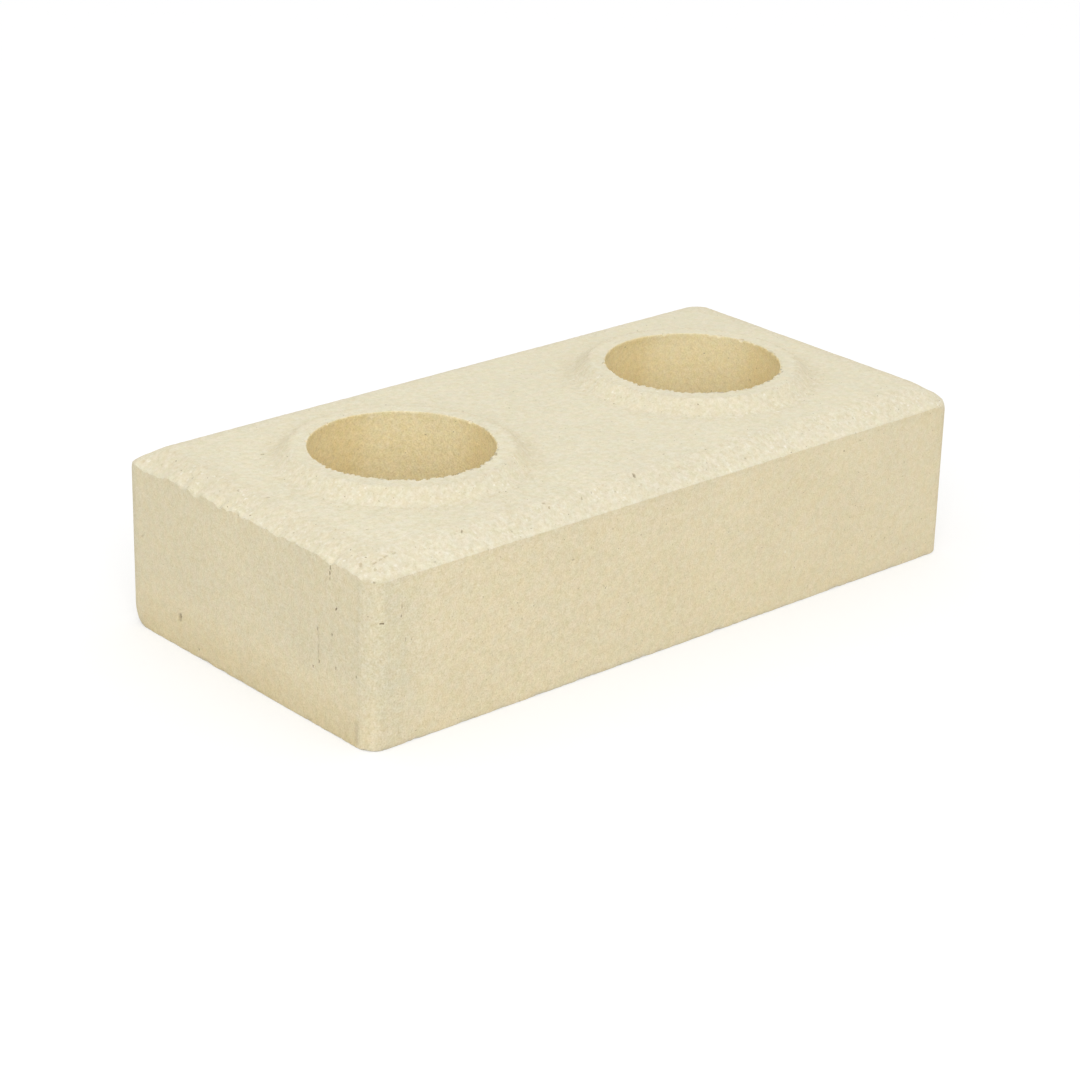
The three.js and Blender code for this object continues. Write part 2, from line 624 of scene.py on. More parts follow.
@dataclass(frozen=True)
class Arris:
    """An edge of the brick, as the slant across which it wears.

    `height` tells how far a point stands out along the slant, measured from the sharp edge, and
    `slant` is the slant's direction at each point. The edge is cut back by `wear` and up to
    twice `spread`, and `softness` rounds what is left.
    """

    height: np.ndarray
    slant: np.ndarray
    wear: np.ndarray | float
    spread: float
    softness: np.ndarray | float = 0.12 * MM


class Ripple(Enum):
    """The layers of smooth noise over the skin: length of a wave, seed and octaves."""

    WEAR = (7.8 * MM, 4.0, 2)
    FRAY = (2.6 * MM, 9.0, 2)
    CRUMB = (1.1 * MM, 12.0, 2)
    CHIP_FLOORS = (1.1 * MM, 15.0, 2)
    PIT_OUTLINES = (1.1 / 1.4 * MM, 23.0, 2)
    FACES = (38.0 * MM, 31.0, 2)
    SLOPES = (1.1 * MM, 41.0, 3)
    GRIT = (1.1 / 2.3 * MM, 47.0, 2)
    RIM_RISE = (2.6 / 0.6 * MM, 53.0, 2)
    RIM_RAGS = (2.6 / 2.0 * MM, 57.0, 2)
    WARMTH = (30.0 * MM, 61.0, 2)
    LIP_CUSPS = (2.6 / 0.8 * MM, 71.0, 1)
    LIP_RAGS = (2.6 / 1.5 * MM, 73.0, 2)
    RIM_BITES = (2.6 / 1.5 * MM, 79.0, 1)
    RIM_GAPS = (2.6 / 1.3 * MM, 83.0, 1)


class ClayRelief:
    """Wears, chips, crumbles and pits the skin, and keeps what each point went through and where
    shade and highlights are painted on it.

    A share runs from 0 to 1. `end` is 1 on the ends and 0 along the sides, and `upright` is 1 in
    the middle of a corner's rounding. `spoke` points out from the nearer bore's axis. Shade is
    painted on the bores' sides away from `LIT_SIDE`, the angle from +X of their side that the lamp
    lights. `HARDNESS` and `LAYER_STEP` set how much weaker and finer each further layer of noise is.
    """

    LIT_SIDE = math.radians(42.0)
    HARDNESS = 0.8
    LAYER_STEP = 2.1

    def __init__(self, sizes: BrickSizes, points: np.ndarray, normals: np.ndarray) -> None:
        """Measures where each point lies on the brick.

        Args:
            sizes: Sizes of the brick.
            points: The skin's points.
            normals: Outward directions at the points.
        """
        self.sizes = sizes
        self.points = points.copy()
        self.normals = normals
        self.worn = np.zeros(len(points))
        self.stain_and_shade = np.zeros(len(points))
        self.inset, self.outward = self._from_walls(points)
        self.end = self.outward[:, 0] ** 2
        self.upright = 4.0 * self.end * self.outward[:, 1] ** 2
        self.wall = sizes.side_wall + (sizes.end_wall - sizes.side_wall) * self.end
        self.radius, self.spoke = self._from_bores(points)
        self.coarse = self._coarseness()
        past_rim = (sizes.height - points[:, 2]) - (self.radius - sizes.bore_radius)
        self.bore = smoothstep(1.6 * MM, 0.8 * MM, self.radius - sizes.bore_radius)
        self.bore *= smoothstep(-0.25 * MM, 0.35 * MM, past_rim)
        self.drag, self.warmth_and_shade = self._mould_marks_and_shade()
        self.edge_highlight_and_shade = self._edge_highlight_and_shade()

    def _from_walls(self, points: np.ndarray) -> tuple[np.ndarray, np.ndarray]:
        """Measures the points from the upright walls.

        Args:
            points: The points.

        Returns:
            How far each point is inside the walls, and the direction out to them in plan.
        """
        radius = self.sizes.corner_radius
        half = np.array((self.sizes.length, self.sizes.width)) / 2.0 - radius
        beyond = np.abs(points[:, :2]) - half
        corner = np.maximum(beyond, 0.0)
        stretch = np.hypot(corner[:, 0], corner[:, 1])
        inset = radius - stretch - np.minimum(beyond.max(axis=1), 0.0)
        straight = np.where(beyond[:, :1] > beyond[:, 1:], (1.0, 0.0), (0.0, 1.0))
        curved = corner / np.maximum(stretch, TINY)[:, None]
        outward = np.where(stretch[:, None] > 0.0001 * MM, curved, straight) * np.sign(points[:, :2])
        return inset, outward

    def _from_bores(self, points: np.ndarray) -> tuple[np.ndarray, np.ndarray]:
        """Measures the points from the nearer bore's axis.

        Args:
            points: The points.

        Returns:
            The distance of each point from the axis, and the direction out from the axis.
        """
        away = points[:, :2].copy()
        away[:, 0] -= np.where(points[:, 0] < 0.0, -self.sizes.bore_x, self.sizes.bore_x)
        radius = np.hypot(away[:, 0], away[:, 1])
        return radius, away / np.maximum(radius, TINY)[:, None]

    def _coarseness(self) -> np.ndarray:
        """Tells how coarse the clay is.

        Returns:
            1 where it is open and gritty, on the slopes, and 0 where it is tight, on the flats.
        """
        sizes = self.sizes
        height = self.points[:, 2]
        bevel = smoothstep(-0.5 * MM, 1.5 * MM, height - self.wall) * smoothstep(
            sizes.side_bevel_run + 5.0 * MM, sizes.side_bevel_run - 1.0 * MM, self.inset)
        flank = smoothstep(sizes.ring_land_radius - 2.0 * MM, sizes.ring_land_radius, self.radius)
        flank *= smoothstep(sizes.ring_foot_radius + 5.0 * MM, sizes.ring_foot_radius, self.radius)
        flank *= smoothstep(sizes.bed - 1.0 * MM, sizes.bed, height)
        return np.maximum(bevel, flank)

    def _mould_marks_and_shade(self) -> tuple[np.ndarray, np.ndarray]:
        """Tells where the mould scored the walls, how warm or pale their clay is, and where shade is
        painted in as warmth.

        Returns:
            How scored each point is, and how warm (above 0) or pale (below 0) it is, painted shade included.
        """
        sizes = self.sizes
        end = self.end
        height = self.points[:, 2]
        wall = smoothstep(1.5 * MM, 0.5 * MM, self.inset)
        from_end = sizes.length / 2.0 - np.abs(self.points[:, 0])
        from_side = sizes.width / 2.0 - np.abs(self.points[:, 1])
        corner = smoothstep(26.0 * MM, 4.0 * MM, from_end) * (1.0 - end)
        corner += smoothstep(6.6 * MM, 5.4 * MM, from_side) * end
        side = np.where(self.points[:, 0] < 0.0, 1.0, -0.35)
        scored = wall * corner * np.abs(side) * (1.0 - 0.4 * end)

        # Painted shade: warmer and darker towards the walls' foot, most on the ends.
        foot = np.clip(1.0 - height / (26.0 * MM), 0.0, 1.0) ** 2 * (0.15 + 0.85 * end * (1.0 - 0.6 * corner))
        rise = smoothstep(4.0 * MM, 24.0 * MM, height)
        grey = 0.33 * end * rise + (0.35 + 0.25 * rise) * corner * side * (1.0 - 0.55 * end)
        walls = wall * (foot + 0.20 * self.noise_at(Ripple.WARMTH) - grey)

        # Painted shade on the bores' sides, away from the side that the lamp lights.
        facing = self.spoke @ np.array((math.cos(self.LIT_SIDE), math.sin(self.LIT_SIDE)))
        bores = self.bore * smoothstep(0.95, 0.70, facing)
        # Painted shade, warmer, on the ring flanks turned from the lamp.
        shaded = self.coarse * smoothstep(-0.5, 0.1, facing) * smoothstep(10.0 * MM, 14.0 * MM, self.inset)
        bevels = end * self.coarse * smoothstep(12.0 * MM, 8.0 * MM, self.inset)
        return scored, walls + bores + (0.20 * shaded + 0.13 * bevels)

    def _edge_highlight_and_shade(self) -> np.ndarray:
        """Paints a highlight on the lip over the arris and shade on the strip below it.

        Returns:
            Above 0 on the lip's painted highlight, and below 0 on the strip's painted shade.
        """
        above = self.points[:, 2] - self.wall
        lip = smoothstep(2.4 * MM, 1.0 * MM, self.inset) * smoothstep(-0.1 * MM, 0.3 * MM, above)
        painted_shade_strip = smoothstep(-3.0 * MM, -0.6 * MM, above) * smoothstep(0.6 * MM, 0.2 * MM, self.inset)
        return 0.55 * lip - (1.0 - 0.5 * self.end) * painted_shade_strip * smoothstep(0.3 * MM, -0.1 * MM, above)

    def noise_at(self, ripple: Ripple) -> np.ndarray:
        """Reads a layer of smooth noise at every point.

        Args:
            ripple: The layer.

        Returns:
            Noise from about -1 to 1.
        """
        length, seed, octaves = ripple.value
        waves = 1.0 / length
        shift = Vector((seed, seed * 0.37, -seed * 0.71))
        return np.array([
            noise.fractal(Vector(point) * waves + shift, self.HARDNESS, self.LAYER_STEP, octaves)
            for point in self.points.tolist()
        ])

    def crests_at(self, ripple: Ripple, sharpness: float) -> np.ndarray:
        """Makes narrow crests where a layer of noise passes through nought."""
        return np.clip(1.0 - sharpness * np.abs(self.noise_at(ripple)), 0.0, 1.0)

    def near_corner(self, x_side: float, y_side: float, edge: float, core: float) -> np.ndarray:
        """Tells how near each point is to one of the brick's upright corners.

        Args:
            x_side: 1 or -1, for the right or the left end.
            y_side: 1 or -1, for the back or the front side.
            edge: Distance from the corner where the share is 0.
            core: Distance from the corner where the share is 1.

        Returns:
            The share of each point.
        """
        corner = np.array((x_side * self.sizes.length, y_side * self.sizes.width)) / 2.0
        return smoothstep(edge, core, np.linalg.norm(self.points[:, :2] - corner, axis=1))

    def arrises(self) -> list[Arris]:
        """Lists the brick's edges, with how much each has worn.

        The upright corner at the right of the front side is knocked at its top, and the one at
        the left of the back side is worn round and knocked at its foot.

        Returns:
            The edges.
        """
        sizes = self.sizes
        height = self.points[:, 2]
        level = math.sqrt(0.5)
        flat = np.column_stack((self.outward, np.zeros(len(height))))
        spoke = np.column_stack((self.spoke, np.zeros(len(height))))
        bevel = math.atan2(sizes.side_bevel_run, sizes.bed - sizes.side_wall)
        lean = (math.pi / 2.0 - bevel + math.pi) / 4.0
        top_slant = flat * math.cos(lean) + UP * math.sin(lean) * np.ones((len(height), 1))
        top = (height - self.wall) * math.sin(lean) - self.inset * math.cos(lean)
        rim = ((sizes.bore_radius - self.radius) + (height - sizes.height)) * level
        sill = ((sizes.bore_radius - self.radius) + (sizes.socket_depth - height)) * level
        mouth = ((sizes.socket_mouth_radius - self.radius) - height) * level
        foot = -(self.inset + height) * level
        inner = self.radius < sizes.socket_ceiling_radius
        out_of_reach = -1.0

        far_left = self.upright * (self.outward[:, 0] < 0.0) * (self.outward[:, 1] > 0.0)
        nipped = self.near_corner(1.0, -1.0, 8.0 * MM, 3.5 * MM)
        dropped = self.near_corner(-1.0, 1.0, 9.0 * MM, 2.0 * MM)
        blunt = (0.08 + 0.9 * self.upright + 1.3 * far_left + 1.6 * nipped) * MM
        blunt_foot = (0.10 + 0.3 * self.upright + 2.6 * dropped) * MM
        knocked = 0.70 * nipped * MM
        side_arris = Arris(np.where(self.end < 0.5, top, out_of_reach), top_slant,
                           0.04 * MM + knocked, 0.12 * MM, blunt)
        end_arris = Arris(np.where(self.end >= 0.5, top, out_of_reach), top_slant,
                          0.03 * MM + knocked, 0.10 * MM, blunt)
        bore_rim = Arris(np.where(inner, rim, out_of_reach), (UP - spoke) * level,
                         0.0, 0.09 * MM, 0.10 * MM)
        bore_sill = Arris(np.where(inner, sill, out_of_reach), (-UP - spoke) * level,
                          0.2 * MM, 0.2 * MM)
        socket_mouth = Arris(np.where(height < sizes.socket_depth, mouth, out_of_reach),
                             (-UP - spoke) * level, 0.2 * MM, 0.2 * MM)
        foot_arris = Arris(foot, (flat - UP) * level,
                           (0.08 + 1.28 * dropped) * MM, 0.30 * MM, blunt_foot)
        return [side_arris, end_arris, bore_rim, bore_sill, socket_mouth, foot_arris]

    def wear(self) -> None:
        """Shaves each edge back along its slant by a wandering amount."""
        amount = 0.3 + 0.7 * self.noise_at(Ripple.WEAR) + 0.8 * self.noise_at(Ripple.FRAY)
        amount = np.clip(amount + 0.7 * self.noise_at(Ripple.CRUMB), 0.0, 2.0)
        for arris in self.arrises():
            depth = arris.wear + arris.spread * amount
            proud = np.maximum(arris.height + depth + arris.softness, 0.0)
            eased = proud * proud / (4.0 * arris.softness)
            cut = np.where(proud < 2.0 * arris.softness, eased, proud - arris.softness)
            self.points -= arris.slant * cut[:, None]
            self.worn = np.maximum(self.worn, smoothstep(0.03 * MM, 0.3 * MM, cut))

    def hang(self, tongues: list[Tongue]) -> None:
        """Lets the line of the arris wander: it rises in scallops, and tongues of clay hang down.

        Args:
            tongues: The larger tongues of the left end; the right end has them the other way round.
        """
        end = self.end
        above = self.points[:, 2] - self.wall
        hold = smoothstep(-5.5 * MM, -0.6 * MM, above) * smoothstep(6.5 * MM, 0.4 * MM, self.inset)
        hold *= 1.0 - 2.0 * end * (1.0 - end)
        place = self.points[:, 1] * np.where(self.points[:, 0] < 0.0, 1.0, -1.0)
        line = np.full(len(place), 0.36 * MM)
        for tongue in tongues:
            share = np.clip(1.0 - np.abs(place - tongue.place) / tongue.reach, 0.0, 1.0)
            line -= tongue.drop * share ** 1.3
        cusps = self.crests_at(Ripple.LIP_CUSPS, 2.2)
        ragged = 0.10 * self.noise_at(Ripple.LIP_RAGS) - 0.30 * cusps ** 2 + 0.05
        ragged *= (0.45 + 0.75 * end) * smoothstep(2.6 * MM, 0.3 * MM, self.inset)
        self.points[:, 2] += (line * end - 0.12 * MM * (1.0 - end) + ragged * MM) * hold

    def chip(self, chips: list[Chip]) -> None:
        """Breaks scoops out of the edges.

        Args:
            chips: The scoops.
        """
        unevenness = 0.4 * self.noise_at(Ripple.CHIP_FLOORS)
        for chip in chips:
            radius = (chip.width ** 2 / 4.0 + chip.depth ** 2) / (2.0 * chip.depth)
            centre = np.array(chip.place) + np.array(chip.outward) * (radius - chip.depth)
            away = self.points - centre
            span = np.linalg.norm(away, axis=1)
            reach = radius + chip.depth * unevenness
            hit = span < reach
            self.points[hit] = centre + away[hit] * (reach[hit] / span[hit])[:, None]
            self.worn[hit] = 1.0

    def pit(self, pits: list[Pit]) -> None:
        """Sinks pinholes and scratches into the faces, and darkens them with stain and painted shade.

        Args:
            pits: The pinholes and scratches.
        """
        rough = 1.0 + 0.35 * self.noise_at(Ripple.PIT_OUTLINES)
        for pit in pits:
            facing = self.normals @ np.array(pit.face.value) > 0.3
            share = pit.distance(self.points) / (pit.radius * rough)
            bowl = np.sqrt(np.clip(1.0 - share * share, 0.0, 1.0)) * facing
            self.points -= self.normals * (bowl * pit.depth)[:, None]
            self.stain_and_shade = np.maximum(self.stain_and_shade, pit.stain_and_shade * smoothstep(1.25, 0.55, share) * facing)

    def crumble(self) -> None:
        """Roughens the whole skin: broad waves on the faces, grit on the slopes and frayed rims, and
        paints shade between the near rims' crumbs.
        """
        loose = np.clip(self.coarse + self.worn, 0.0, 1.0) * (1.0 - 0.4 * self.coarse * self.end)
        flat_corner = (self.outward[:, 0] > 0.0) & (self.outward[:, 1] < 0.0)
        bulge = self.coarse * self.upright * np.where(flat_corner, 0.2, 1.0)
        rim, hidden, near = self._rims()
        proud = (0.22 + 0.14 * self.noise_at(Ripple.RIM_RISE)) * (1.0 - 0.7 * self.spoke[:, 0] ** 2)
        rags = 0.36 * self.noise_at(Ripple.RIM_RAGS) * (1.0 - 0.8 * hidden)
        bites = self.crests_at(Ripple.RIM_BITES, 2.6) * (1.0 - 0.75 * hidden)
        lift = 0.06 * self.noise_at(Ripple.FACES) + 0.3 * bulge + (proud + rags) * rim
        lift += self.noise_at(Ripple.SLOPES) * (0.012 + 0.03 * loose)
        lift += self.noise_at(Ripple.GRIT) * (0.010 + 0.05 * loose)
        self.points += self.normals * (lift * MM)[:, None]
        self.points[:, 2] -= 0.42 * MM * bites * rim * rim
        self.points[:, :2] -= self.spoke * (0.20 * MM * rim * near)[:, None]
        self._shade_rims(near)

    def _rims(self) -> tuple[np.ndarray, np.ndarray, np.ndarray]:
        """Finds the bore rims.

        Returns:
            Three shares: on a rim, on the far and right half of it, and on the near side of it.
        """
        rim = smoothstep(2.2 * MM, 0.6 * MM, np.abs(self.radius - self.sizes.bore_radius))
        rim *= smoothstep(2.5 * MM, 0.5 * MM, self.sizes.height - self.points[:, 2])
        back = self.spoke[:, 1]
        hidden = smoothstep(-0.4, 0.8, back + 0.5 * np.maximum(self.spoke[:, 0], 0.0))
        return rim, hidden, smoothstep(0.1, -0.6, back)

    def _shade_rims(self, near: np.ndarray) -> None:
        """Paints shade into the gaps between the crumbs on the near side of each rim.

        Args:
            near: The share of each point that is on the near side.
        """
        gaps = smoothstep(0.12, 0.32, self.noise_at(Ripple.RIM_GAPS))
        brink = smoothstep(0.85 * MM, 0.40 * MM, self.radius - self.sizes.bore_radius)
        brink *= smoothstep(0.9 * MM, 0.3 * MM, self.sizes.height - self.points[:, 2])
        self.stain_and_shade = np.maximum(self.stain_and_shade, 0.50 * gaps * brink * near)

    def settle(self, low: Vector, high: Vector) -> None:
        """Keeps every point inside the solid's box, so that the brick stands on its underside.

        Args:
            low: Lowest corner of the box.
            high: Highest corner of the box.
        """
        self.points = np.clip(self.points, np.array(low), np.array(high))


class Damage:
    """Chooses where the brick is chipped and pitted."""

    FOOT_ROUNDING = 0.1 * MM

    def __init__(self, sizes: BrickSizes, seed: int = 7) -> None:
        """Starts a repeatable choice.

        Args:
            sizes: Sizes of the brick.
            seed: Seed of the choice.
        """
        self.sizes = sizes
        self.random = np.random.default_rng(seed)

    def tongues(self) -> list[Tongue]:
        """Lists the tongues of clay that hang over the left end.

        Returns:
            The tongues, from the front corner back.
        """
        hanging = (
            (-54.0, 4.0, 1.3), (-50.0, 1.5, 0.6), (-40.0, 2.4, 1.1), (-37.0, 2.0, 0.6), (-16.0, 3.6, 0.9),
            (-13.0, 1.6, 0.4), (0.0, 1.4, 0.6), (7.0, 1.6, 0.8), (11.0, 2.6, 1.4), (22.5, 3.4, 1.4),
            (29.0, 3.4, 1.1), (40.0, 4.0, 0.9), (44.0, 2.0, 0.4), (47.5, 9.0, 1.6),
        )
        return [Tongue(place * MM, reach * MM, drop * MM) for place, reach, drop in hanging]

    def _spot(self, on_end: bool, sign: float, height: float, lean: float) -> tuple[Point3, Point3]:
        """Draws a spot on an arris that runs round the brick.

        Args:
            on_end: Whether the spot is on an end, and not on a side.
            sign: 1 or -1, for the right or the left end, or for the back or the front side.
            height: Height of the arris.
            lean: How far the way out of the arris leans up, for 1 outwards.

        Returns:
            The spot and the way out of the arris there.
        """
        sizes = self.sizes
        if on_end:
            run = sizes.width / 2.0 - sizes.corner_radius
            place = (sign * sizes.length / 2.0, self.random.uniform(-run, run), height)
            outward = Vector((sign, 0.0, lean))
        else:
            run = sizes.length / 2.0 - sizes.corner_radius
            place = (self.random.uniform(-run, run), sign * sizes.width / 2.0, height)
            outward = Vector((0.0, sign, lean))
        return place, tuple(outward.normalized())

    def edge_chips(self, count: int, least: float, most: float) -> list[Chip]:
        """Scatters chips along the arris round the bed face, and larger ones on the ends.

        Args:
            count: Number of chips.
            least: Least depth.
            most: Greatest depth.

        Returns:
            The chips.
        """
        chips = []
        for _ in range(count):
            depth = self._depth(least, most)
            width = depth * self.random.uniform(2.6, 5.0)
            on_end = self.random.random() < 0.45
            sign = self.random.choice((-1.0, 1.0))
            height = self.sizes.end_wall if on_end else self.sizes.side_wall
            place, outward = self._spot(on_end, sign, height, 0.55)
            if not on_end:
                depth *= 0.45
                width *= 0.6
            chips.append(Chip(place, outward, width, depth))
        return chips

    def foot_chips(self, count: int, least: float, most: float) -> list[Chip]:
        """Scatters chips along the arris round the underside.

        Args:
            count: Number of chips.
            least: Least depth.
            most: Greatest depth.

        Returns:
            The chips.
        """
        chips = []
        for _ in range(count):
            depth = self._depth(least, most)
            width = depth * self.random.uniform(2.6, 4.6)
            sign = self.random.choice((-1.0, 1.0))
            on_end = self.random.random() < 0.4
            place, outward = self._spot(on_end, sign, 0.0, -1.0)
            chips.append(Chip(place, outward, width, depth + self.FOOT_ROUNDING))
        return chips

    def rim_chips(self, count: int, least: float, most: float) -> list[Chip]:
        """Scatters chips round both bore rims.

        Args:
            count: Number of chips on each rim.
            least: Least depth.
            most: Greatest depth.

        Returns:
            The chips.
        """
        sizes = self.sizes
        chips = []
        for side in (-1.0, 1.0):
            for _ in range(count):
                angle = self.random.triangular(-1.5 * math.pi, -0.5 * math.pi, 0.5 * math.pi)
                depth = self._depth(least, most)
                width = depth * self.random.uniform(2.0, 3.0)
                spoke = Vector((math.cos(angle), math.sin(angle), 0.0))
                place = Vector((side * sizes.bore_x, 0.0, sizes.height)) + spoke * sizes.bore_radius
                outward = (2.0 * Vector(UP) - spoke).normalized()
                chips.append(Chip(tuple(place), tuple(outward), width, depth))
        return chips

    def _depth(self, least: float, most: float) -> float:
        """Draws a chip's depth, with many small ones and few large ones."""
        return least + (most - least) * self.random.random() ** 3

    def known_pits(self) -> list[Pit]:
        """Lists the marks that stand out near the front corner and on the bed face.

        Each is given in millimetres by its two places on the face, its radius, its stain and
        the run of its slit: along X and up on the front, along Y and up on the left end, and
        along X and Y on the bed face.

        Returns:
            The marks.
        """
        marks = {
            Face.FRONT: (
                (-111.4, 38.0, 0.22, 1.0, (1.0, 0.0, -0.1)), (-104.2, 41.6, 0.16, 0.6, (0.0, 0.0, -0.8)),
                (-104.4, 38.6, 0.22, 0.7, (0.0, 0.0, -0.3)), (-43.0, 38.4, 0.18, 0.5, (0.6, 0.0, 0.0)),
                (-102.9, 31.6, 0.2, 0.4, (0.0, 0.0, -1.0)),
            ),
            Face.LEFT: (
                (31.0, 10.4, 0.60, 0.75, (0.0, 0.1, -1.4)), (-40.1, 49.9, 0.24, 0.95, (0.0, 0.0, -0.8)),
                (-39.9, 48.2, 0.24, 1.0, (0.0, 0.0, -0.7)), (-39.8, 46.4, 0.18, 0.7, (0.0, 0.0, -0.5)),
                (-42.9, 38.6, 0.25, 0.9, (0.0, 0.5, -0.7)), (-40.6, 30.1, 0.34, 0.65, (0.0, 0.0, -0.4)),
                (-34.3, 29.7, 0.25, 0.6, (0.0, 0.0, -0.6)), (-42.4, 20.8, 0.24, 0.7, (0.0, 0.1, -0.6)),
                (-34.9, 20.2, 0.28, 0.65, (0.0, 0.0, -0.5)), (-32.2, 17.6, 0.24, 0.75, (0.0, 0.0, -0.4)),
                (-51.3, 21.4, 0.24, 0.6, (0.0, 0.0, -0.4)), (22.0, 3.0, 0.3, 0.45, (0.0, 0.0, -0.4)),
            ),
            Face.BED: (
                (-13.7, -50.6, 0.42, 0.65, (0.5, 0.9, 0.0)), (-78.4, -51.2, 0.30, 0.55, (0.4, 0.4, 0.0)),
                (-87.9, 27.1, 0.36, 0.75, (0.6, 0.0, 0.0)), (26.8, -55.0, 0.28, 0.40, (0.0, 0.0, 0.0)),
                (-112.2, -49.7, 0.40, 0.26, (0.3, 0.5, 0.0)), (-109.4, -51.6, 0.26, 0.24, (0.9, 0.0, 0.0)),
                (-107.2, -51.5, 0.24, 0.24, (0.7, 0.0, 0.0)), (-105.4, -51.4, 0.28, 0.28, (0.9, 0.1, 0.0)),
                (-102.4, -51.3, 0.24, 0.22, (0.9, 0.1, 0.0)), (-110.4, -53.6, 0.26, 0.20, (0.5, 0.3, 0.0)),
                (-48.0, -50.2, 0.28, 0.40, (0.5, 0.0, 0.0)), (-47.4, -52.0, 0.26, 0.35, (0.4, 0.3, 0.0)),
                (-35.4, -52.3, 0.28, 0.35, (0.3, 0.4, 0.0)), (-109.0, 9.4, 0.26, 0.35, (0.2, 0.8, 0.0)),
            ),
        }
        return [self._mark(face, *mark) for face, found in marks.items() for mark in found]

    def _mark(self, face: Face, first: float, second: float, radius: float, stain_and_shade: float,
              run: Point3) -> Pit:
        """Makes a pit of sizes in millimetres, as deep as it is wide.

        Args:
            face: The front, the left end or the bed face.
            first: Its place along X, or along Y on the left end.
            second: Its place up a wall, or along Y on the bed face.
            radius: Radius of the pit.
            stain_and_shade: How dark it is.
            run: The run of its slit.

        Returns:
            The pit.
        """
        places = {
            Face.FRONT: (first * MM, -self.sizes.width / 2.0, second * MM),
            Face.LEFT: (-self.sizes.length / 2.0, first * MM, second * MM),
            Face.BED: (first * MM, second * MM, self.sizes.bed),
        }
        return Pit(face, places[face], radius * MM, radius * MM, stain_and_shade, tuple(c * MM for c in run))

    def scratches(self) -> list[Pit]:
        """Lists the scratches that the mould dragged down the left end.

        Each is given in millimetres by its top end, its length, its radius and its stain. A broad
        smear and a shallow crease run along the front corner; the crease is faintly darkened with
        painted shade.

        Returns:
            The scratches, the smear and the crease.
        """
        drags = (
            (-34.5, 30.5, 4.2, 0.16, 0.30), (-34.6, 25.0, 4.0, 0.14, 0.34), (-35.0, 28.0, 6.5, 0.10, 0.16),
            (-40.6, 29.0, 5.0, 0.10, 0.14), (-42.2, 47.0, 7.0, 0.10, 0.12), (-43.4, 36.0, 6.0, 0.10, 0.14),
            (-38.0, 45.0, 6.0, 0.10, 0.10), (-46.5, 33.0, 9.0, 0.10, 0.10),
        )
        marks = [
            self._mark(Face.LEFT, y, z, width, stain_and_shade, (0.0, 0.0, -length))
            for y, z, length, width, stain_and_shade in drags
        ]
        smear = self._mark(Face.LEFT, -51.6, 7.5, 0.8, 0.20, (0.0, 0.0, -5.5))
        # A faint line of painted shade along the corner's crease.
        crease = self._mark(Face.LEFT, -51.8, 46.0, 0.4, 0.01, (0.0, 0.0, -43.0))
        return [*marks, replace(smear, depth=0.0), replace(crease, depth=0.03 * MM)]

    def scattered_pits(self, count: int) -> list[Pit]:
        """Scatters pinholes over the walls and the bed face.

        Args:
            count: Number of pinholes.

        Returns:
            The pinholes.
        """
        sizes = self.sizes
        half_x = sizes.length / 2.0
        half_y = sizes.width / 2.0
        pits = []
        for _ in range(count):
            face = self.random.choice((Face.FRONT, Face.BACK, Face.LEFT, Face.RIGHT, Face.BED))
            along = self.random.uniform(-0.9, 0.9)
            level = self.random.uniform(3.0 * MM, sizes.side_wall - 3.0 * MM)
            radius = self.random.uniform(0.18, 0.32) * MM
            stain_and_shade = self.random.uniform(0.15, 0.4)
            if face is Face.BED:
                place = (along * half_x * 0.15, self.random.uniform(-0.8, 0.8) * half_y, sizes.bed)
            elif face in (Face.FRONT, Face.BACK):
                place = (along * half_x, face.value[1] * half_y, level)
            else:
                place = (face.value[0] * half_x, along * half_y, level)
            pits.append(Pit(face, place, radius, radius, stain_and_shade))
        return pits


@dataclass(frozen=True)
class Grains:
    """A kind of grain, scattered over the cells of a loose grid.

    `step` moves its pattern off the others', `spacing` is the size of a cell, `radius` is a
    grain's radius as a share of a cell, and `share` is the share of the cells that hold one.
    """

    step: float
    spacing: float
    radius: float
    share: float


